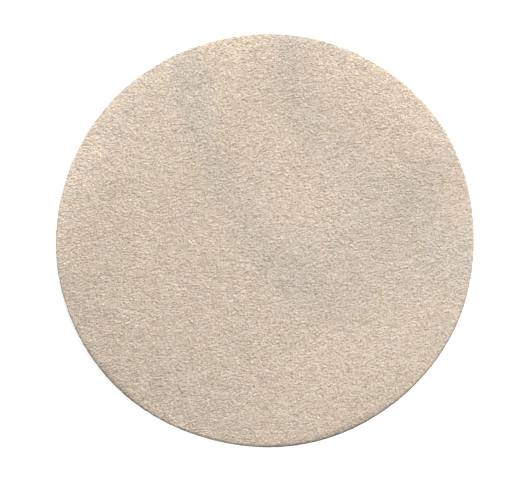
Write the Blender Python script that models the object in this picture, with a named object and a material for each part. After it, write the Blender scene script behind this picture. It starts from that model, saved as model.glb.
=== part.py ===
"""Peel-and-stick wool felt polishing disc for the flat plate of a lapidary machine.

A stack of die-cut layers that share one outline. From the top down: the pressed wool
felt, an adhesive coat, a clear carrier film, a second adhesive coat, and release paper
that is slit across the middle so that each half peels off from the slit outwards.

Metres, +Z up out of the working face. The origin is the centre of the underside.
Run it with: blender --background --python part.py
"""

import math

import bmesh
import bpy

# Driving dimensions, in metres.
DISC_DIAMETER = 0.1524
FELT_THICKNESS = 0.0030
ADHESIVE_THICKNESS = 0.00008
FILM_THICKNESS = 0.00005
LINER_THICKNESS = 0.00015

# The layers are thinner than a wide gap would be, so they are set this far apart.
LAYER_GAP = 0.00003
SLIT_WIDTH = 0.0003

# The felt's cut edge is rolled over at the working face and eased underneath.
TOP_EDGE_RADIUS = 0.0006
BOTTOM_EDGE_RADIUS = 0.00015
TOP_EDGE_STEPS = 5

# Soft felt creeps as the die presses it, so the cut is a little out of round:
# waves around the rim, share of the radius, and direction of the first crest in degrees.
RIM_WAVES = (
    (3, 0.0022, 57.0),
    (4, 0.0018, 39.0),
    (6, 0.0010, -26.0),
    (7, 0.0014, 26.0),
)

RIM_POINTS = 144
QUARTER_TURN = math.pi / 2
SHARP_ANGLE = math.radians(40)


def clear_scene():
    for old in list(bpy.data.objects):
        bpy.data.objects.remove(old, do_unlink=True)


def make_material(name, color, roughness, alpha=1.0, coat=0.0):
    material = bpy.data.materials.new(name)
    material.use_nodes = True
    shader = material.node_tree.nodes["Principled BSDF"]
    shader.inputs["Base Color"].default_value = (*color, 1.0)
    shader.inputs["Roughness"].default_value = roughness
    shader.inputs["Metallic"].default_value = 0.0
    shader.inputs["Alpha"].default_value = alpha
    shader.inputs["Coat Weight"].default_value = coat
    return material


def felt_material():
    return make_material("wool_felt", (0.62, 0.52, 0.415), 0.95)


def bonding_adhesive_material():
    return make_material("bonding_adhesive", (0.74, 0.68, 0.52), 0.35)


def film_material():
    return make_material("clear_film", (0.80, 0.82, 0.82), 0.12, coat=0.3)


def mounting_adhesive_material():
    return make_material("mounting_adhesive", (0.78, 0.73, 0.58), 0.22, coat=0.2)


def liner_material():
    return make_material("release_paper", (0.49, 0.41, 0.28), 0.7)


def wavy_radius(angle):
    """Radius of the die cut before it is centred, as a share of the nominal radius."""
    share = 1.0
    for waves, height, crest in RIM_WAVES:
        share += height * math.cos(waves * (angle - math.radians(crest)))
    return share


def rim_outline():
    """The cut outline at RIM_POINTS even angles, centred and sized to the diameter."""
    angles = [2 * math.pi * i / RIM_POINTS for i in range(RIM_POINTS)]
    points = [(wavy_radius(a) * math.cos(a), wavy_radius(a) * math.sin(a)) for a in angles]
    low_x, high_x = min(x for x, y in points), max(x for x, y in points)
    low_y, high_y = min(y for x, y in points), max(y for x, y in points)
    scale = DISC_DIAMETER / max(high_x - low_x, high_y - low_y)
    middle_x = (low_x + high_x) / 2
    middle_y = (low_y + high_y) / 2
    return [((x - middle_x) * scale, (y - middle_y) * scale) for x, y in points]


def inset_point(point, depth):
    """The point moved in towards the disc's centre by depth."""
    x, y = point
    distance = math.hypot(x, y)
    share = (distance - depth) / distance
    return x * share, y * share


def felt_edge_profile(bottom, top):
    """(inset, height) pairs from the felt's underside up round its cut edge."""
    profile = [(BOTTOM_EDGE_RADIUS, bottom), (0.0, bottom + BOTTOM_EDGE_RADIUS)]
    for step in range(TOP_EDGE_STEPS + 1):
        turn = QUARTER_TURN * step / TOP_EDGE_STEPS
        inset = TOP_EDGE_RADIUS * (1 - math.cos(turn))
        height = top - TOP_EDGE_RADIUS * (1 - math.sin(turn))
        profile.append((inset, height))
    return profile


def object_from_rings(name, rings, material, origin=(0.0, 0.0, 0.0)):
    """One closed solid through stacked rings of points, lowest ring first."""
    mesh = bpy.data.meshes.new(name)
    shape = bmesh.new()
    ox, oy, oz = origin
    loops = []
    for ring in rings:
        loops.append([shape.verts.new((x - ox, y - oy, z - oz)) for x, y, z in ring])
    count = len(rings[0])
    for lower, upper in zip(loops, loops[1:]):
        for i in range(count):
            j = (i + 1) % count
            shape.faces.new((lower[i], lower[j], upper[j], upper[i]))
    shape.faces.new(list(reversed(loops[0])))
    shape.faces.new(loops[-1])
    bmesh.ops.recalc_face_normals(shape, faces=shape.faces)
    shape.to_mesh(mesh)
    shape.free()
    mesh.shade_smooth()
    mesh.set_sharp_from_angle(angle=SHARP_ANGLE)
    mesh.materials.append(material)
    piece = bpy.data.objects.new(name, mesh)
    piece.location = origin
    bpy.context.scene.collection.objects.link(piece)
    return piece


def flat_layer(name, outline, bottom, top, material):
    """A sheet the shape of the whole outline."""
    rings = [[(x, y, height) for x, y in outline] for height in (bottom, top)]
    return object_from_rings(name, rings, material)


def felt_disc(outline, bottom, top):
    rings = []
    for inset, height in felt_edge_profile(bottom, top):
        rings.append([(*inset_point(point, inset), height) for point in outline])
    return object_from_rings("felt_disc", rings, felt_material())


def half_outline(outline, side):
    """The part of the outline on one side (+1 or -1) of the slit, closed along it."""
    edge = side * SLIT_WIDTH / 2
    points = []
    for (x0, y0), (x1, y1) in zip(outline, outline[1:] + outline[:1]):
        inside = side * x0 > side * edge
        if inside:
            points.append((x0, y0))
        if inside != (side * x1 > side * edge):
            share = (edge - x0) / (x1 - x0)
            points.append((edge, y0 + share * (y1 - y0)))
    return points


def release_liner(name, outline, side, bottom, top):
    """Half of the release paper, its origin on the rim line that it peels about."""
    half = half_outline(outline, side)
    rim_x = side * max(side * x for x, y in outline)
    rings = [[(x, y, height) for x, y in half] for height in (bottom, top)]
    origin = (rim_x, 0.0, (bottom + top) / 2)
    return object_from_rings(name, rings, liner_material(), origin)


def build_disc():
    outline = rim_outline()
    release_liner("release_liner_left", outline, -1, 0.0, LINER_THICKNESS)
    release_liner("release_liner_right", outline, 1, 0.0, LINER_THICKNESS)

    bottom = LINER_THICKNESS + LAYER_GAP
    top = bottom + ADHESIVE_THICKNESS
    flat_layer("mounting_adhesive", outline, bottom, top, mounting_adhesive_material())

    bottom = top + LAYER_GAP
    top = bottom + FILM_THICKNESS
    flat_layer("carrier_film", outline, bottom, top, film_material())

    bottom = top + LAYER_GAP
    top = bottom + ADHESIVE_THICKNESS
    flat_layer("bonding_adhesive", outline, bottom, top, bonding_adhesive_material())

    bottom = top + LAYER_GAP
    felt_disc(outline, bottom, bottom + FELT_THICKNESS)


clear_scene()
build_disc()
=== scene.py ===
"""Looks of a peel-and-stick wool felt polishing disc: its felt, fibres, adhesives and papers."""

import math

import bpy
import numpy as np
from mathutils import Matrix, Vector


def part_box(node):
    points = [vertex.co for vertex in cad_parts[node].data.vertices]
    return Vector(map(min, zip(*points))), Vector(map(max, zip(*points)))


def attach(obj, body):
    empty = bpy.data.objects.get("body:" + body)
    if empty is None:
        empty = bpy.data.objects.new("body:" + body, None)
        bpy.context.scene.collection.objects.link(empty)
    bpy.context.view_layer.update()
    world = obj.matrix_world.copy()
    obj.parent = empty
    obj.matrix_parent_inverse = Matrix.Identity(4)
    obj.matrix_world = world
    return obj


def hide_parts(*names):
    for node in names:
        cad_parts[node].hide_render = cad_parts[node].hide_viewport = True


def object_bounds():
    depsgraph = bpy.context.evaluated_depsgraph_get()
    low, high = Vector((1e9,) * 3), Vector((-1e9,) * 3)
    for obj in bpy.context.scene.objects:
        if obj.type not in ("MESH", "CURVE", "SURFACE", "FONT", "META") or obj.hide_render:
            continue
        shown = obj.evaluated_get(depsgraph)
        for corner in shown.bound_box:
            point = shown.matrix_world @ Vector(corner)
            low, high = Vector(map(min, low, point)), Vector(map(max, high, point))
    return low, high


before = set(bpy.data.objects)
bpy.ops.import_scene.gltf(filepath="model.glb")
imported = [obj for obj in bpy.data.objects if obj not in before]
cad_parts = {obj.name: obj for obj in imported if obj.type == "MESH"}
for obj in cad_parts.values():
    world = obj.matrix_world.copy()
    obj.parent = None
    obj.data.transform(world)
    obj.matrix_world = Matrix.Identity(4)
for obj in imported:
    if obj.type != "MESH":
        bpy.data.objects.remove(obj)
cad_low, cad_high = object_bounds()

# Lengths are in metres, and turns in tables are in degrees.
MM = 0.001
FELT_LOW, FELT_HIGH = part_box("felt_disc")
RADIUS = (FELT_HIGH.y - FELT_LOW.y) / 2
FELT_TOP = FELT_HIGH.z
FELT_BOTTOM = FELT_LOW.z

# The felt mesh: cells across the face, and how its cut edge is rolled over and eased under.
FACE_CELLS = 256
EDGE_RADIUS = 0.6 * MM
EDGE_STEPS = 8
WALL_STEPS = 9
HEEL_RADIUS = 0.15 * MM
# The felt starts to look cut, in the wall's colour with its painted shade, where it is this upright, from 0
# on the face to 1 on the wall.
CUT_FROM = 0.8

# The cut outline, as waves round the wall, which lies past this share of the radius.
WALL_FROM = 0.99
RIM_WAVES = 10

# Relief of the felt, as standard deviations.
SWELL = 0.05 * MM
TUFT = 0.035 * MM
NAP = 0.035 * MM
WALL_NAP = 0.035 * MM

# The square raster that the felt's uneven fields are drawn on, a little wider than the disc.
RASTER_CELLS = 1024
RASTER_SIDE = 0.1638

# Uneven wool, and painted light and shade, on the face in bands. Each band has the points it runs through
# and its half
# width, in disc radii, and a strength: a share of grey wool, or a change in lightness.
GREY_BANDS = (
    (((-0.37, 0.86), (-0.34, 0.68)), 0.08, 0.8),
    (((-0.34, 0.68), (-0.29, 0.48), (-0.20, 0.30), (-0.10, 0.12), (0.0, -0.10), (0.14, -0.20)), 0.08, 0.9),
    (((0.10, 0.92), (0.15, 0.70), (0.25, 0.52), (0.38, 0.35), (0.50, 0.30)), 0.09, 0.8),
    (((0.22, -0.05), (0.35, -0.02), (0.48, 0.10), (0.62, 0.10), (0.80, 0.0), (0.95, -0.05)), 0.14, 0.7),
    (((0.18, -0.32), (0.45, -0.30), (0.65, -0.20), (0.85, -0.10)), 0.11, 0.7),
    (((0.82, 0.36), (0.74, 0.20)), 0.09, 0.8),
    (((-0.97, 0.15), (-0.80, 0.45), (-0.50, 0.80), (-0.42, 0.90)), 0.16, 0.55),
    (((-0.64, -0.53), (-0.60, -0.53)), 0.09, 0.5),
    (((-0.32, -0.72), (-0.20, -0.77)), 0.08, 0.5),
    (((0.60, -0.55), (0.64, -0.58)), 0.09, 0.4),
    (((0.98, -0.18), (0.86, -0.46)), 0.10, 0.35),
    (((0.10, 0.98), (0.36, 0.92)), 0.06, 0.6),
    (((-0.96, -0.02), (-0.82, -0.48), (-0.50, -0.82)), 0.26, -0.4),
)
# Changes in lightness, mostly painted light and shade: lighter along the top rim, over the upper left and
# the lower right, darker over the lower left. The narrow darker bands follow the grey wool, and one lightens
# a small patch near the middle.
PAINTED_LIGHT_AND_TONE_BANDS = (
    (((-1.0, 0.10), (-0.72, 0.40), (-0.50, 0.60), (-0.24, 0.78)), 0.12, 0.07),
    (((-0.98, 0.20), (-0.74, 0.67), (-0.33, 0.94), (0.0, 0.97)), 0.07, 0.06),
    (((0.34, 0.88), (0.60, 0.68), (0.80, 0.48)), 0.12, 0.04),
    (((0.10, 0.32), (0.16, 0.14)), 0.18, 0.04),
    (((0.30, -0.62), (0.68, -0.48), (0.90, -0.15), (0.97, 0.06)), 0.14, 0.06),
    (((-0.95, -0.10), (-0.70, -0.36), (-0.30, -0.80)), 0.24, -0.03),
    (((-0.93, -0.30), (-0.66, -0.66), (-0.28, -0.92)), 0.12, -0.05),
    (((-0.38, 0.68), (-0.30, 0.45), (-0.2, 0.25), (-0.08, 0.05), (0.05, -0.12), (0.34, -0.32)), 0.08, -0.04),
    (((0.11, 0.89), (0.17, 0.66), (0.25, 0.48)), 0.07, -0.05),
    (((-0.38, 0.86), (-0.36, 0.82)), 0.06, -0.08),
    (((0.62, 0.08), (0.76, 0.30)), 0.10, -0.05),
    (((-0.86, 0.14), (-0.74, 0.20)), 0.07, -0.04),
    (((0.86, 0.46), (0.55, 0.80), (0.15, 0.96), (-0.20, 0.96), (-0.60, 0.77), (-0.93, 0.30)), 0.06, 0.07),
)
# How bands fade out past their half width, and how ragged their sides are.
FAR_OFF = 9.0
BAND_RAGGEDNESS = 0.3
BAND_POWER = 2.5
BAND_FALL = 1.6

# Mottling all over the face, on the same two scales.
GREY_MOTTLE = 0.3
TONE_MOTTLE = 0.01

# The nap starts to lean this far to the lower right, and leans fully past the fade, in radii.
LEANING_FROM = 0.25
LEANING_FADE = 0.5
LEANING_TURN = 35

# Painted shade on the cut edge, darker and lighter on its way round and darkest on the side away from the
# key light: turn from +X, half width, strength.
WALL_PAINTED_SHADE = ((222, 18, -0.58), (249, 10, 0.7), (291, 22, -0.52), (330, 12, 0.05), (190, 12, 0.15))
# Painted highlight and shade on the outermost ring of the face, lighter towards the key light and darker
# away from it. The ring fades in here, in disc radii.
RIM_PAINTED_LIGHT_AND_SHADE = ((90, 60, 0.08), (222, 13, -0.27), (290, 17, -0.22))
RIM_RING_FROM = 0.965
RIM_RING_FADE = 0.03

# Colours, as linear red, green and blue.
# The dark felt and grey colours fill the gaps between strands, partly as painted shade.
FELT_LIGHT = (0.634, 0.549, 0.462)
FELT_DARK = (0.386, 0.289, 0.191)
GREY_LIGHT = (0.596, 0.534, 0.470)
GREY_DARK = (0.358, 0.282, 0.202)
# The wall colours are the cut edge's wool darkened by painted shade.
PAINTED_SHADE_WALL_PALE = (0.300, 0.270, 0.234)
PAINTED_SHADE_WALL_DEEP = (0.180, 0.162, 0.142)
FIBRE_LIGHT = (0.80, 0.70, 0.58)
FIBRE_DARK = (0.40, 0.335, 0.265)
FIBRE_MOTTLE = (0.45, 0.38, 0.30)
FIBRE_GREY = (0.50, 0.46, 0.40)
PAPER_LIGHT = (0.52, 0.44, 0.305)
PAPER_DARK = (0.46, 0.38, 0.255)
PAPER_PULP = (0.35, 0.275, 0.175)
BONDING_ADHESIVE = (0.70, 0.62, 0.47)
CARRIER_FILM = (0.74, 0.75, 0.73)
MOUNTING_ADHESIVE = (0.74, 0.68, 0.53)

# Strands of wool in the felt's surface: their size, and the turn and shift of each set.
STRAND_LENGTH = 1.5 * MM
STRAND_WIDTH = 0.95 * MM
RIDGE_WIDTH = 0.15
LEVEL_STRANDS = ((10, 1.3), (-12, 6.1))
LEANED_STRANDS = ((45, 2.9), (22, 8.4))
STRAND_WEIGHT = 0.22
FINE_GRAIN = 0.60 * MM
FINE_TURN = 45
FINE_WEIGHT = 1.2

# How red, green and blue swing from one fleck of wool to another, and what else colours it.
WARM_SWING = (0.28, 0.0, -0.28)
GREEN_SWING = (-0.11, 0.14, -0.11)
GREY_WEIGHT = 0.43
# The nap's height lightens its high places and darkens its hollows, as painted shade.
NAP_SHADE_WEIGHT = 0.09
FELT_BUMP = 0.72 * MM

# Streaks and cloudy patches in the adhesive coats and the film.
STREAK_SHADE = 0.92
ROUGHNESS_SWING = 0.12

# Loose fibres are thin three-sided tubes, whose thickness tapers along them by these shares.
FIBRE_TAPER = (0.35, 0.9, 1.0, 0.9, 0.35)
FIBRE_SIDES = 3
THICKNESS_SPREAD = (0.6, 1.4)

# Fibres on the face: how far inside the rim their middles and their ends stay, how they lie,
# how far they stand proud in the middle and how deep their ends are tucked in.
FACE_FIBRE_SEED = 21
FACE_FIBRE_COUNT = 6500
FACE_FIBRE_LENGTH = 3.4 * MM
FACE_FIBRE_THICKNESS = 0.045 * MM
FACE_LENGTH_SPREAD = (0.6, 1.4)
FACE_MIDDLES_INSIDE = 1.6 * MM
FACE_ENDS_INSIDE = 0.7 * MM
FACE_HEADING = math.radians(38)
FACE_BEND = 0.225
FACE_WRIGGLE = 0.1
FACE_WRIGGLE_TURN = 2.6
FACE_PROUD = (0.0, 0.09 * MM)
FACE_TUCK = 0.05 * MM

# Fibres on the cut edge: how far above the felt's underside they stay, how steep they lie, how
# pale they are, and how their colour follows the wall's painted shade and is darkened by more painted shade.
EDGE_FIBRE_SEED = 22
EDGE_FIBRE_COUNT = 1400
EDGE_FIBRE_LENGTH = 2.2 * MM
EDGE_FIBRE_THICKNESS = 0.035 * MM
EDGE_LENGTH_SPREAD = (0.5, 1.4)
EDGE_ABOVE = 0.3 * MM
EDGE_PITCH = math.radians(22)
EDGE_PROUD = (0.02 * MM, 0.16 * MM)
EDGE_TUCK = 0.06 * MM
EDGE_PALEST = 0.35
EDGE_WALL_SHADE_SHARE = 0.6
EDGE_PAINTED_SHADE = 0.35

# The two halves of the release paper, whose sharp corners are cut off.
CORNER_FLAT = 0.05 * MM
LINER_CELLS_X = 60
LINER_CELLS_Y = 120
LINER_RIPPLE = 0.006 * MM
# The ripple is a slanted wave times one along Y, in radians per millimetre.
SLANTED_WAVE = (0.23, 0.11)
WAVE_ALONG_Y = 0.17

# The floor is round and sweeps up at its rim.
FLOOR_DROP = 0.05 * MM
FLOOR_SIDES = 64
FLOOR_RINGS = (0.2, 0.6, 1.0)
SWEEP_FROM = 3.0
SWEEP_RADIUS = 0.5
SWEEP_STEPS = 8
FLOOR_GREY = 0.50
FLOOR_GLOW = 0.80

# The camera: how far it tilts off straight above, towards which side, and what it frames.
TILT = math.radians(10)
TILT_TOWARDS = math.radians(-74)
CAMERA_DISTANCE = 1.6
VIEW_WIDTH = 0.1894
FRAME_SHIFT = (0.0016, 0.0035)

# The lights: their places, their sizes and their watts.
KEY_PLACE = (0.08, 1.45, 1.22)
KEY_SIZE = 0.54
KEY_POWER = 61.0
FILL_PLACE = (0.75, -0.35, 0.9)
FILL_SIZE = 0.8
FILL_POWER = 6.0
SKY_STRENGTH = 0.30


def add_piece(name, vertices, faces, material, smooth=True):
    mesh = bpy.data.meshes.new(name)
    mesh.from_pydata(vertices.tolist(), [], faces)
    mesh.update()
    if smooth:
        mesh.shade_smooth()
    mesh.materials.append(material)
    piece = bpy.data.objects.new(name, mesh)
    bpy.context.scene.collection.objects.link(piece)
    return piece


def give_attribute(piece, name, values):
    """A number for each vertex, which the material reads."""
    layer = piece.data.attributes.new(name, "FLOAT", "POINT")
    layer.data.foreach_set("value", np.asarray(values, np.float32))


# ---- uneven fields ----

def clump_field(seed, along, across, turn=0.0):
    """Noise whose clumps measure along by across, lying at turn degrees to +X."""
    white = np.random.default_rng(seed).standard_normal((RASTER_CELLS, RASTER_CELLS))
    waves = np.fft.fftfreq(RASTER_CELLS, RASTER_SIDE / RASTER_CELLS)
    wave_x, wave_y = np.meshgrid(waves, waves)
    c, s = math.cos(math.radians(turn)), math.sin(math.radians(turn))
    reach = ((wave_x * c + wave_y * s) * along) ** 2 + ((wave_y * c - wave_x * s) * across) ** 2
    field = np.fft.ifft2(np.fft.fft2(white) * reach * np.exp(-2 * reach)).real
    return field / field.std()


def sample(field, x, y):
    """The field at points, blended between its cells and repeating past its edges."""
    step = RASTER_SIDE / RASTER_CELLS
    across, down = x / step + RASTER_CELLS / 2, y / step + RASTER_CELLS / 2
    i, j = np.floor(across).astype(int), np.floor(down).astype(int)
    a, b = across - i, down - j
    n = RASTER_CELLS
    low = field[j % n, i % n] * (1 - a) + field[j % n, (i + 1) % n] * a
    high = field[(j + 1) % n, i % n] * (1 - a) + field[(j + 1) % n, (i + 1) % n] * a
    return low * (1 - b) + high * b


def smooth_step(value):
    value = np.clip(value, 0, 1)
    return value * value * (3 - 2 * value)


def leaning(x, y):
    """1 where the nap leans up to the right, towards the lower right of the face."""
    to_lower_right = (x - y) / (RADIUS * math.sqrt(2))
    return smooth_step((to_lower_right - LEANING_FROM) / LEANING_FADE)


LEVEL_NAP = clump_field(11, 1.5 * MM, 0.8 * MM)
LEANING_NAP = clump_field(12, 1.5 * MM, 0.8 * MM, LEANING_TURN)
TUFTS = clump_field(13, 4.5 * MM, 3.0 * MM, 12)
SWELLS = clump_field(14, 34 * MM, 26 * MM)
BREAK_UP = clump_field(15, 9 * MM, 7 * MM)
WALL_LAYERS = clump_field(16, 3.0 * MM, 0.6 * MM)


def nap(x, y):
    lean = leaning(x, y)
    return sample(LEVEL_NAP, x, y) * (1 - lean) + sample(LEANING_NAP, x, y) * lean


def face_relief(x, y):
    relief = SWELL * sample(SWELLS, x, y) + TUFT * sample(TUFTS, x, y)
    return relief + NAP * nap(x, y)


def wall_relief(around, height):
    return WALL_NAP * sample(WALL_LAYERS, around, height)


def distance_to_path(u, v, points):
    """How far places on the face are from the straight stretches between the points."""
    nearest = np.full_like(u, FAR_OFF)
    for (u0, v0), (u1, v1) in zip(points, points[1:]):
        run_u, run_v = u1 - u0, v1 - v0
        share = np.clip(((u - u0) * run_u + (v - v0) * run_v) / (run_u**2 + run_v**2), 0, 1)
        nearest = np.minimum(nearest, np.hypot(u - u0 - share * run_u, v - v0 - share * run_v))
    return nearest


def banded(x, y, bands):
    """The summed strengths of the bands at places on the face, with ragged sides."""
    ragged = BAND_RAGGEDNESS * sample(BREAK_UP, x, y)
    total = np.zeros_like(x)
    for points, half_width, strength in bands:
        off = distance_to_path(x / RADIUS, y / RADIUS, points) / half_width + ragged
        total += strength * np.exp(-(np.maximum(off, 0) ** BAND_POWER) / BAND_FALL)
    return total


def grey_wool(x, y):
    return banded(x, y, GREY_BANDS) + GREY_MOTTLE * sample(BREAK_UP, x, y)


def round_tone(x, y, tones):
    """How much lighter or darker a ring is at the angles of points."""
    turn = np.degrees(np.arctan2(y, x))
    total = np.zeros_like(turn)
    for middle, half_width, strength in tones:
        off = (turn - middle + 180) % 360 - 180
        total += strength * np.exp(-((off / half_width) ** 2))
    return total


# Painted light and shade over the face and round its rim, with random mottling.
def face_painted_light_and_tone(x, y):
    near_rim = smooth_step((np.hypot(x, y) / RADIUS - RIM_RING_FROM) / RIM_RING_FADE)
    painted_light_and_tone = banded(x, y, PAINTED_LIGHT_AND_TONE_BANDS) + near_rim * round_tone(x, y, RIM_PAINTED_LIGHT_AND_SHADE)
    return painted_light_and_tone + TONE_MOTTLE * sample(BREAK_UP, x, y)


# ---- materials ----

# The Mix node's sockets: its share, then for each kind its first, its second and its result.
MIX_SHARE = 0
MIX_SOCKETS = {"FLOAT": (2, 3, 0), "RGBA": (6, 7, 2)}


def opaque(color):
    return (*color, 1)


class Graph:
    """Adds nodes to one material and wires them up."""

    def __init__(self, name):
        self.material = bpy.data.materials.new(name)
        self.material.use_nodes = True
        self.tree = self.material.node_tree
        self.shader = self.tree.nodes["Principled BSDF"]
        self.place = self.add("ShaderNodeTexCoord").outputs["Object"]

    def set(self, node, socket, value):
        if isinstance(value, bpy.types.NodeSocket):
            self.tree.links.new(value, node.inputs[socket])
        else:
            node.inputs[socket].default_value = value

    def add(self, kind, options=None, **inputs):
        node = self.tree.nodes.new(kind)
        for name, value in (options or {}).items():
            setattr(node, name, value)
        for name, value in inputs.items():
            self.set(node, name.replace("_", " "), value)
        return node

    def math(self, operation, a, b=0.0, clamp=False):
        node = self.add("ShaderNodeMath", {"operation": operation, "use_clamp": clamp})
        self.set(node, 0, a)
        self.set(node, 1, b)
        return node.outputs[0]

    def mix(self, share, a, b, kind="RGBA", blend="MIX"):
        node = self.add("ShaderNodeMix", {"data_type": kind, "blend_type": blend})
        first, second, result = MIX_SOCKETS[kind]
        self.set(node, MIX_SHARE, share)
        self.set(node, first, a)
        self.set(node, second, b)
        return node.outputs[result]

    def tinted(self, color, share, swing):
        """The colour with each channel scaled by its swing as share goes from 0 to 1."""
        scale = self.add("ShaderNodeVectorMath", {"operation": "MULTIPLY_ADD"})
        self.set(scale, 0, share)
        self.set(scale, 1, swing)
        self.set(scale, 2, tuple(1 - s / 2 for s in swing))
        return self.mix(1.0, color, scale.outputs[0], blend="MULTIPLY")

    def toned(self, color, change):
        """The colour scaled by one plus the change."""
        scale = self.add("ShaderNodeVectorMath", {"operation": "SCALE"})
        self.set(scale, 0, color)
        self.set(scale, "Scale", self.math("ADD", change, 1.0))
        return scale.outputs[0]

    def stretched(self, along, across, turn=0.0, shift=0.0):
        """The place in clumps of along by across metres, lying at turn degrees to +X."""
        turned = self.add("ShaderNodeMapping", {"vector_type": "TEXTURE"}, Vector=self.place)
        self.set(turned, "Rotation", (0, 0, math.radians(turn)))
        self.set(turned, "Scale", (along, across, across))
        self.set(turned, "Location", (shift, shift, shift))
        return turned.outputs[0]

    def noise(self, vector, detail=2.0, roughness=0.5, distortion=0.0):
        node = self.add("ShaderNodeTexNoise", Vector=vector, Scale=1.0, Detail=detail)
        self.set(node, "Roughness", roughness)
        self.set(node, "Distortion", distortion)
        return node.outputs["Fac"]

    def flecks(self, along, across, shift):
        return self.noise(self.stretched(along, across, shift=shift), detail=1.0)

    def ridges(self, along, across, turn, shift):
        """1 along winding lines, falling to 0 between them."""
        wander = self.noise(self.stretched(along, across, turn, shift), detail=1.0, distortion=0.4)
        off_line = self.math("ABSOLUTE", self.math("SUBTRACT", wander, 0.5))
        return self.between(off_line, 0.0, RIDGE_WIDTH, to_low=1.0, to_high=0.0)

    def attribute(self, name):
        return self.add("ShaderNodeAttribute", {"attribute_name": name}).outputs["Fac"]

    def between(self, value, low, high, to_low=0.0, to_high=1.0):
        """The value carried smoothly from one range to another."""
        node = self.add("ShaderNodeMapRange", {"interpolation_type": "SMOOTHSTEP"}, Value=value)
        self.set(node, "From Min", low)
        self.set(node, "From Max", high)
        self.set(node, "To Min", to_low)
        self.set(node, "To Max", to_high)
        return node.outputs[0]

    def finish(self, color, roughness, height=None, depth=0.0, strength=1.0):
        self.set(self.shader, "Base Color", color)
        self.set(self.shader, "Roughness", roughness)
        if height is not None:
            bump = self.add("ShaderNodeBump", Height=height, Distance=depth, Strength=strength)
            self.tree.links.new(bump.outputs[0], self.shader.inputs["Normal"])
        return self.material


def crossed_strands(g, sets):
    """Two sets of winding strands, the higher one on top wherever they cross."""
    first, second = [g.ridges(STRAND_LENGTH, STRAND_WIDTH, turn, shift) for turn, shift in sets]
    return g.math("MAXIMUM", first, second)


def strand_noise(g):
    """Winding strands, level on most of the face and leaning towards its lower right."""
    level = crossed_strands(g, LEVEL_STRANDS)
    leaned = crossed_strands(g, LEANED_STRANDS)
    patches = g.flecks(5 * MM, 4 * MM, shift=9.3)
    share = g.between(g.math("ADD", g.attribute("lean"), patches), 0.88, 1.12)
    strands = g.mix(share, level, leaned, kind="FLOAT")
    fine_place = g.stretched(FINE_GRAIN, FINE_GRAIN, FINE_TURN, shift=4.7)
    fine = g.noise(fine_place, roughness=0.6, distortion=0.6)
    strands = g.math("MULTIPLY", strands, STRAND_WEIGHT)
    return g.math("ADD", strands, g.math("MULTIPLY", fine, FINE_WEIGHT))


def wool_color(g, strands):
    """Pale strands over darker gaps that are partly painted shade, nap painted lighter on its high places
    and darker in its hollows, grey patches, and flecks of other wools.
    """
    nap_shade = g.math("MULTIPLY", g.attribute("nap_shade"), NAP_SHADE_WEIGHT)
    share = g.math("ADD", g.between(strands, 0.28, 1.18), nap_shade)
    color = g.mix(share, opaque(FELT_DARK), opaque(FELT_LIGHT))
    grey = g.mix(share, opaque(GREY_DARK), opaque(GREY_LIGHT))
    grey_flecks = g.flecks(0.9 * MM, 0.6 * MM, shift=5.3)
    grey_share = g.math("ADD", g.math("MULTIPLY", g.attribute("grey"), GREY_WEIGHT), grey_flecks)
    color = g.mix(g.between(grey_share, 0.60, 1.0), color, grey)
    color = g.tinted(color, g.flecks(0.8 * MM, 0.5 * MM, shift=3.1), WARM_SWING)
    color = g.tinted(color, g.flecks(0.9 * MM, 0.6 * MM, shift=7.7), GREEN_SWING)
    return g.toned(color, g.attribute("painted_light_and_tone"))


def felt_material():
    g = Graph("wool_felt_look")
    strands = strand_noise(g)
    layers = g.noise(g.stretched(2.5 * MM, 0.5 * MM), roughness=0.6)
    # The cut wall's colour, darkened by painted shade.
    wall = g.mix(g.between(layers, 0.3, 0.7), opaque(PAINTED_SHADE_WALL_DEEP), opaque(PAINTED_SHADE_WALL_PALE))
    wall = g.toned(wall, g.attribute("painted_light_and_tone"))
    color = g.mix(g.attribute("cut"), wool_color(g, strands), wall)
    g.set(g.shader, "Sheen Weight", 0.15)
    g.set(g.shader, "Sheen Roughness", 0.6)
    g.set(g.shader, "Specular IOR Level", 0.2)
    clumps = g.noise(g.stretched(1.0 * MM, 0.8 * MM, turn=40), detail=1.0, distortion=0.5)
    return g.finish(color, 0.95, height=g.math("ADD", strands, clumps), depth=FELT_BUMP)


def fibre_material():
    g = Graph("wool_fibre_look")
    color = g.mix(g.attribute("shade"), opaque(FIBRE_DARK), opaque(FIBRE_LIGHT))
    mottle = g.noise(g.stretched(1.2 * MM, 0.8 * MM), detail=1.0)
    color = g.mix(g.between(mottle, 0.3, 0.7, to_high=0.3), color, opaque(FIBRE_MOTTLE))
    grey = g.math("MULTIPLY", g.attribute("grey"), 0.5, clamp=True)
    color = g.toned(g.mix(grey, color, opaque(FIBRE_GREY)), g.attribute("painted_light_and_tone"))
    g.set(g.shader, "Sheen Weight", 0.1)
    g.set(g.shader, "Specular IOR Level", 0.3)
    return g.finish(color, 0.8)


def adhesive_material(name, color, roughness):
    """A coat or a film with faint streaks along X."""
    g = Graph(name)
    streaks = g.noise(g.stretched(9 * MM, 1.5 * MM), detail=3.0, roughness=0.6)
    shaded = tuple(STREAK_SHADE * c for c in color)
    shown = g.mix(g.between(streaks, 0.3, 0.7), opaque(shaded), opaque(color))
    cloudy = g.noise(g.stretched(4 * MM, 4 * MM))
    rough = g.between(cloudy, 0.3, 0.7, to_low=roughness, to_high=roughness + ROUGHNESS_SWING)
    return g.finish(shown, rough, height=streaks, depth=0.03 * MM)


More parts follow.
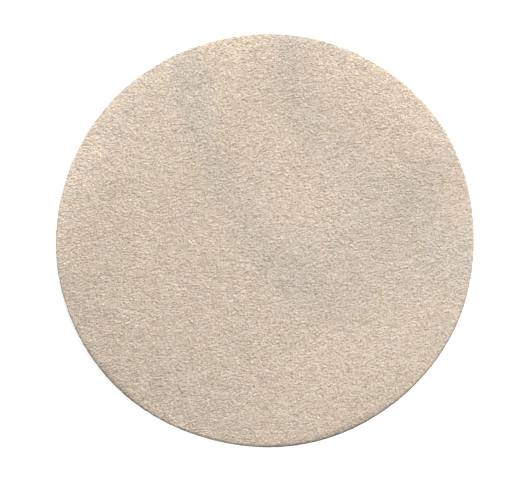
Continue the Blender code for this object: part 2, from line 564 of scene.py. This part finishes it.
def paper_material():
    g = Graph("release_paper_look")
    cloudy = g.noise(g.stretched(3.5 * MM, 2.5 * MM), detail=3.0, roughness=0.6)
    pulp = g.noise(g.stretched(0.6 * MM, 0.18 * MM), roughness=0.6)
    color = g.mix(g.between(cloudy, 0.3, 0.7), opaque(PAPER_DARK), opaque(PAPER_LIGHT))
    color = g.mix(g.between(pulp, 0.62, 0.8, to_high=0.4), color, opaque(PAPER_PULP))
    rough = g.between(cloudy, 0.3, 0.7, to_low=0.62, to_high=0.76)
    g.set(g.shader, "Specular IOR Level", 0.25)
    return g.finish(color, rough, height=pulp, depth=0.02 * MM, strength=0.5)


# ---- the cut outline ----

def wave_basis(turn):
    """Cosines and sines of the waves round the rim at angles in radians, a column each."""
    angle = np.outer(turn, np.arange(RIM_WAVES))
    return np.concatenate([np.cos(angle), np.sin(angle[:, 1:])], axis=1)


def fit_rim():
    """Weights of the waves that make up the cut outline, read from the felt's wall."""
    points = np.array([v.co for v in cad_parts["felt_disc"].data.vertices])
    x, y, height = points.T
    turn = np.arctan2(y, x)
    reach = np.hypot(x, y)
    upright = (height > FELT_BOTTOM + HEEL_RADIUS / 2) & (height < FELT_TOP - EDGE_RADIUS / 2)
    wall = upright & (reach > RADIUS * WALL_FROM)
    return np.linalg.lstsq(wave_basis(turn[wall]), reach[wall], rcond=None)[0]


RIM_WEIGHTS = fit_rim()


def rim_radius(turn):
    """Radius of the cut outline at angles in radians."""
    return wave_basis(turn) @ RIM_WEIGHTS


# ---- felt ----

def round_grid(cells):
    """A square grid pressed into the unit circle: shares of the radius, angles, faces, rim order."""
    line = np.linspace(-1, 1, cells + 1)
    a, b = np.meshgrid(line, line)
    a, b = a.ravel(), b.ravel()
    wide = np.abs(a) >= np.abs(b)
    safe_a, safe_b = np.where(a == 0, 1, a), np.where(b == 0, 1, b)
    share = np.where(wide, a, b)
    turn = np.where(wide, math.pi / 4 * b / safe_a, math.pi / 2 - math.pi / 4 * a / safe_b)
    turn = np.where(share < 0, turn + math.pi, turn)
    row = cells + 1
    faces = []
    for j in range(cells):
        for i in range(cells):
            k = j * row + i
            faces.append((k, k + 1, k + row + 1, k + row))
    rim = list(range(cells))
    rim += [j * row + cells for j in range(cells)]
    rim += [cells * row + cells - i for i in range(cells)]
    rim += [(cells - j) * row for j in range(cells)]
    return np.abs(share), turn, faces, rim


def edge_profile():
    """(inset, height, lift) of each ring from the face over the rolled edge and down the wall.

    Lift is how far the surface faces up, from 1 on the face to 0 on the wall.
    """
    profile = []
    for step in range(1, EDGE_STEPS + 1):
        turn = math.pi / 2 * step / EDGE_STEPS
        inset = EDGE_RADIUS * (1 - math.sin(turn))
        height = FELT_TOP - EDGE_RADIUS * (1 - math.cos(turn))
        profile.append((inset, height, math.cos(turn)))
    wall_top = FELT_TOP - EDGE_RADIUS
    wall_bottom = FELT_BOTTOM + HEEL_RADIUS
    for step in range(1, WALL_STEPS + 1):
        height = wall_top + (wall_bottom - wall_top) * step / WALL_STEPS
        profile.append((0.0, height, 0.0))
    return profile


def faces_between(upper, lower):
    """Faces that join two rings of as many vertices."""
    faces = []
    for k in range(len(upper)):
        n = (k + 1) % len(upper)
        faces.append((upper[k], lower[k], lower[n], upper[n]))
    return faces


def felt_shape():
    """Vertices, faces, and how much each vertex belongs to the cut wall, from 0 to 1."""
    share, turn, faces, rim = round_grid(FACE_CELLS)
    outline = rim_radius(turn)
    flat_reach = share * (outline - EDGE_RADIUS)
    x, y = flat_reach * np.cos(turn), flat_reach * np.sin(turn)
    points = [np.stack([x, y, FELT_TOP + face_relief(x, y)], axis=1)]
    upright = [np.zeros(len(x))]

    rim_turn, rim_reach = turn[rim], outline[rim]
    cos, sin = np.cos(rim_turn), np.sin(rim_turn)
    for inset, height, lift in edge_profile():
        on_x, on_y = (rim_reach - inset) * cos, (rim_reach - inset) * sin
        push = face_relief(on_x, on_y) * lift + wall_relief(rim_turn * RADIUS, height) * (1 - lift)
        out = push * math.sqrt(1 - lift * lift)
        points.append(np.stack([on_x + out * cos, on_y + out * sin, height + push * lift], axis=1))
        upright.append(np.full(len(rim), 1 - lift))
    heel = rim_reach - HEEL_RADIUS
    points.append(np.stack([heel * cos, heel * sin, np.full(len(rim), FELT_BOTTOM)], axis=1))
    upright.append(np.ones(len(rim)))

    ring, start = rim, len(x)
    for _ in points[1:]:
        lower = list(range(start, start + len(rim)))
        faces += faces_between(ring, lower)
        ring, start = lower, start + len(rim)
    faces.append(tuple(reversed(ring)))
    cut = smooth_step((np.concatenate(upright) - CUT_FROM) / (1 - CUT_FROM))
    return np.concatenate(points), faces, cut


def make_felt(material):
    vertices, faces, cut = felt_shape()
    felt = add_piece("pressed_felt", vertices, faces, material)
    x, y = vertices[:, 0], vertices[:, 1]
    give_attribute(felt, "cut", cut)
    give_attribute(felt, "nap_shade", nap(x, y))
    give_attribute(felt, "grey", grey_wool(x, y))
    give_attribute(felt, "lean", leaning(x, y))
    # The face takes its painted light and shade, and the cut wall its painted shade.
    give_attribute(felt, "painted_light_and_tone", face_painted_light_and_tone(x, y) * (1 - cut) + round_tone(x, y, WALL_PAINTED_SHADE) * cut)
    return felt


# ---- loose fibres ----

def tubes(paths, thickness):
    """Vertices and faces of thin closed tubes along paths, shape (count, points, 3)."""
    count, steps, _ = paths.shape
    ahead = np.gradient(paths, axis=1)
    ahead /= np.linalg.norm(ahead, axis=2, keepdims=True)
    up = np.zeros_like(ahead)
    up[..., 2] = 1
    side = np.cross(up, ahead)
    side /= np.linalg.norm(side, axis=2, keepdims=True)
    crown = np.cross(ahead, side)
    taper = np.array(FIBRE_TAPER)[None, :, None] * thickness[:, None, None]
    rings = []
    for k in range(FIBRE_SIDES):
        angle = math.pi / 2 + 2 * math.pi * k / FIBRE_SIDES
        rings.append(paths + taper * (side * math.cos(angle) + crown * math.sin(angle)))
    vertices = np.stack(rings, axis=2).reshape(-1, 3)
    per_fibre = steps * FIBRE_SIDES
    shape = []
    for s in range(steps - 1):
        for k in range(FIBRE_SIDES):
            n = (k + 1) % FIBRE_SIDES
            low, high = s * FIBRE_SIDES, (s + 1) * FIBRE_SIDES
            shape.append((low + k, low + n, high + n, high + k))
    starts = np.arange(count) * per_fibre
    faces = []
    for quad in shape:
        faces += (starts[:, None] + np.array(quad)).tolist()
    last = per_fibre - FIBRE_SIDES
    faces += (starts[:, None] + np.arange(FIBRE_SIDES)[::-1]).tolist()
    faces += (starts[:, None] + last + np.arange(FIBRE_SIDES)).tolist()
    return vertices, faces, per_fibre


def make_face_fibres(material):
    """Loose fibres that lie over the face, their ends tucked into the felt."""
    rng = np.random.default_rng(FACE_FIBRE_SEED)
    count = FACE_FIBRE_COUNT
    steps = np.linspace(-1, 1, len(FIBRE_TAPER))
    reach = (RADIUS - FACE_MIDDLES_INSIDE) * np.sqrt(rng.random(count))
    turn = rng.random(count) * 2 * math.pi
    x, y = reach * np.cos(turn), reach * np.sin(turn)
    heading = rng.normal(0, FACE_HEADING, count) + leaning(x, y) * math.radians(LEANING_TURN)
    bend = rng.normal(0, FACE_BEND, count)[:, None] * (steps**2 - 0.5)
    wriggle = rng.normal(0, FACE_WRIGGLE, count)[:, None] * np.sin(FACE_WRIGGLE_TURN * steps)
    half = FACE_FIBRE_LENGTH / 2 * rng.uniform(*FACE_LENGTH_SPREAD, count)[:, None]
    along, off = half * steps, half * (bend + wriggle)
    c, s = np.cos(heading)[:, None], np.sin(heading)[:, None]
    px, py = x[:, None] + along * c - off * s, y[:, None] + along * s + off * c
    on_face = (np.hypot(px, py) <= RADIUS - FACE_ENDS_INSIDE).all(axis=1)
    px, py = px[on_face], py[on_face]
    count = len(px)
    proud = rng.uniform(*FACE_PROUD, count)[:, None]
    arch = proud * (1 - steps**2) - FACE_TUCK * steps**4
    pz = FELT_TOP + face_relief(px.ravel(), py.ravel()).reshape(px.shape) + arch
    thickness = FACE_FIBRE_THICKNESS * rng.uniform(*THICKNESS_SPREAD, count)
    vertices, faces, each = tubes(np.stack([px, py, pz], axis=2), thickness)
    fibres = add_piece("face_fibres", vertices, faces, material)
    give_attribute(fibres, "shade", np.repeat(rng.random(count), each))
    give_attribute(fibres, "grey", grey_wool(vertices[:, 0], vertices[:, 1]))
    # The face fibres take the face's painted light and shade.
    give_attribute(fibres, "painted_light_and_tone", face_painted_light_and_tone(vertices[:, 0], vertices[:, 1]))
    return fibres


def make_edge_fibres(material):
    """Loose fibres that lie along the cut edge, their ends tucked into the felt."""
    rng = np.random.default_rng(EDGE_FIBRE_SEED)
    count = EDGE_FIBRE_COUNT
    steps = np.linspace(-1, 1, len(FIBRE_TAPER))
    turn = rng.random(count)[:, None] * 2 * math.pi
    pitch = rng.normal(0, EDGE_PITCH, count)[:, None]
    along = EDGE_FIBRE_LENGTH / 2 * rng.uniform(*EDGE_LENGTH_SPREAD, count)[:, None] * steps
    low, high = FELT_BOTTOM + EDGE_ABOVE, FELT_TOP - EDGE_RADIUS
    middle = low + (high - low) * rng.random(count)[:, None]
    angle = turn + along * np.cos(pitch) / RADIUS
    height = np.clip(middle + along * np.sin(pitch), low, high)
    proud = rng.uniform(*EDGE_PROUD, count)[:, None]
    arch = proud * (1 - steps**2) - EDGE_TUCK * steps**4
    reach = rim_radius(angle.ravel()).reshape(angle.shape) + arch
    reach += wall_relief(angle * RADIUS, height)
    paths = np.stack([reach * np.cos(angle), reach * np.sin(angle), height], axis=2)
    thickness = EDGE_FIBRE_THICKNESS * rng.uniform(*THICKNESS_SPREAD, count)
    vertices, faces, each = tubes(paths, thickness)
    fibres = add_piece("edge_fibres", vertices, faces, material)
    give_attribute(fibres, "shade", np.repeat(rng.random(count) * EDGE_PALEST, each))
    give_attribute(fibres, "grey", np.repeat(rng.random(count), each))
    # The edge fibres take the wall's painted shade, darkened further by painted shade.
    wall_painted_shade = round_tone(vertices[:, 0], vertices[:, 1], WALL_PAINTED_SHADE)
    give_attribute(fibres, "painted_light_and_tone", wall_painted_shade * EDGE_WALL_SHADE_SHARE - EDGE_PAINTED_SHADE)
    return fibres


# ---- release paper ----

def liner_places(slit_x, side):
    """x and y of a grid over half the disc, row by row from the slit out to the rim."""
    half_turn = math.acos((abs(slit_x) + CORNER_FLAT) / RADIUS)
    turn = np.linspace(-half_turn, half_turn, LINER_CELLS_Y + 1)
    if side < 0:
        turn = math.pi - turn
    reach = rim_radius(turn)
    rim_x, rim_y = reach * np.cos(turn), reach * np.sin(turn)
    share = np.linspace(0, 1, LINER_CELLS_X + 1)[:, None]
    x = slit_x + (rim_x - slit_x) * share
    y = np.broadcast_to(rim_y, x.shape)
    return x.ravel(), y.ravel()


def sheet_faces(cells_x, cells_y):
    """Faces of a closed sheet, whose vertices are a lower grid and then the one above it."""
    row = cells_y + 1
    above = (cells_x + 1) * row
    faces = []
    for i in range(cells_x):
        for j in range(cells_y):
            k = i * row + j
            quad = (k, k + 1, k + row + 1, k + row)
            faces += [quad, tuple(above + v for v in reversed(quad))]
    border = [i * row for i in range(cells_x)]
    border += [cells_x * row + j for j in range(cells_y)]
    border += [(cells_x - i) * row + cells_y for i in range(cells_x)]
    border += [cells_y - j for j in range(cells_y)]
    for a, b in zip(border, border[1:] + border[:1]):
        faces.append((b, above + b, above + a, a))
    return faces


def make_liner(name, side, material):
    """Half of the release paper, a thin closed sheet with a slit edge along Y."""
    low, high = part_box(name)
    x, y = liner_places(high.x if side < 0 else low.x, side)
    slanted = np.sin((SLANTED_WAVE[0] * x + SLANTED_WAVE[1] * y) / MM)
    ripple = LINER_RIPPLE * (1 + slanted * np.sin(WAVE_ALONG_Y * y / MM))
    under = np.stack([x, y, low.z + ripple], axis=1)
    over = np.stack([x, y, np.full_like(x, high.z)], axis=1)
    faces = sheet_faces(LINER_CELLS_X, LINER_CELLS_Y)
    if side < 0:
        faces = [tuple(reversed(face)) for face in faces]
    vertices = np.concatenate([under, over])
    return add_piece(name + "_paper", vertices, faces, material, smooth=False)


# ---- floor, light and camera ----

def floor_material():
    """Matt and pale, with a glow that keeps it white."""
    material = bpy.data.materials.new("floor_look")
    material.use_nodes = True
    shader = material.node_tree.nodes["Principled BSDF"]
    shader.inputs["Base Color"].default_value = (FLOOR_GREY, FLOOR_GREY, FLOOR_GREY, 1)
    shader.inputs["Roughness"].default_value = 1.0
    shader.inputs["Specular IOR Level"].default_value = 0.0
    shader.inputs["Emission Color"].default_value = (1, 1, 1, 1)
    shader.inputs["Emission Strength"].default_value = FLOOR_GLOW
    return material


def make_floor():
    """A round floor whose rim sweeps up, so that no view sees past it."""
    rings = [(SWEEP_FROM * share, -FLOOR_DROP) for share in FLOOR_RINGS]
    for step in range(1, SWEEP_STEPS + 1):
        turn = math.pi / 2 * step / SWEEP_STEPS
        height = SWEEP_RADIUS * (1 - math.cos(turn)) - FLOOR_DROP
        rings.append((SWEEP_FROM + SWEEP_RADIUS * math.sin(turn), height))
    vertices = []
    for reach, height in rings:
        for k in range(FLOOR_SIDES):
            turn = 2 * math.pi * k / FLOOR_SIDES
            vertices.append((reach * math.cos(turn), reach * math.sin(turn), height))
    faces = [tuple(range(FLOOR_SIDES))]
    for ring in range(len(rings) - 1):
        for k in range(FLOOR_SIDES):
            inner, n = ring * FLOOR_SIDES, (k + 1) % FLOOR_SIDES
            faces.append((inner + k, inner + FLOOR_SIDES + k, inner + FLOOR_SIDES + n, inner + n))
    mesh = bpy.data.meshes.new("floor")
    mesh.from_pydata(vertices, [], faces)
    mesh.shade_smooth()
    mesh.materials.append(floor_material())
    floor = bpy.data.objects.new("floor", mesh)
    bpy.context.scene.collection.objects.link(floor)


def area_light(name, place, size, power):
    """A round soft light aimed at the middle of the disc."""
    data = bpy.data.lights.new(name, "AREA")
    data.shape = "DISK"
    data.size = size
    data.energy = power
    light = bpy.data.objects.new(name, data)
    light.location = place
    light.rotation_mode = "QUATERNION"
    light.rotation_quaternion = (-Vector(place)).to_track_quat("-Z", "Y")
    bpy.context.scene.collection.objects.link(light)


def make_world():
    world = bpy.data.worlds.new("studio")
    world.use_nodes = True
    background = world.node_tree.nodes["Background"]
    background.inputs["Color"].default_value = (1, 1, 1, 1)
    background.inputs["Strength"].default_value = SKY_STRENGTH
    bpy.context.scene.world = world


def make_camera():
    aside = math.sin(TILT)
    back = Vector((aside * math.cos(TILT_TOWARDS), aside * math.sin(TILT_TOWARDS), math.cos(TILT)))
    right = Vector((0, 1, 0)).cross(back).normalized()
    up = back.cross(right)
    centre = (cad_low + cad_high) / 2
    target = centre - right * FRAME_SHIFT[0] - up * FRAME_SHIFT[1]
    data = bpy.data.cameras.new("camera")
    data.lens = data.sensor_width * CAMERA_DISTANCE / VIEW_WIDTH
    data.clip_start, data.clip_end = 0.01, 20.0
    camera = bpy.data.objects.new("camera", data)
    facing = Matrix((right, up, back)).transposed().to_4x4()
    camera.matrix_world = Matrix.Translation(target + back * CAMERA_DISTANCE) @ facing
    bpy.context.scene.collection.objects.link(camera)
    bpy.context.scene.camera = camera


# ---- build the disc and its studio ----

felt = make_felt(felt_material())
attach(felt, "pad")
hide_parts("felt_disc")
fibre_look = fibre_material()
fibres = [make_face_fibres(fibre_look), make_edge_fibres(fibre_look)]
for piece in fibres:
    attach(piece, "pad")

paper = paper_material()
for liner, side in (("release_liner_left", -1), ("release_liner_right", 1)):
    sheet = make_liner(liner, side, paper)
    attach(sheet, "liner_left" if side < 0 else "liner_right")
    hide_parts(liner)

LAYER_LOOKS = {
    "bonding_adhesive": adhesive_material("bonding_adhesive_look", BONDING_ADHESIVE, 0.35),
    "carrier_film": adhesive_material("carrier_film_look", CARRIER_FILM, 0.12),
    "mounting_adhesive": adhesive_material("mounting_adhesive_look", MOUNTING_ADHESIVE, 0.2),
}
for node, look in LAYER_LOOKS.items():
    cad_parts[node].material_slots[0].material = look

make_floor()
make_world()
area_light("key", KEY_PLACE, KEY_SIZE, KEY_POWER)
area_light("fill", FILL_PLACE, FILL_SIZE, FILL_POWER)
make_camera()
bpy.context.scene.view_settings.view_transform = "Standard"
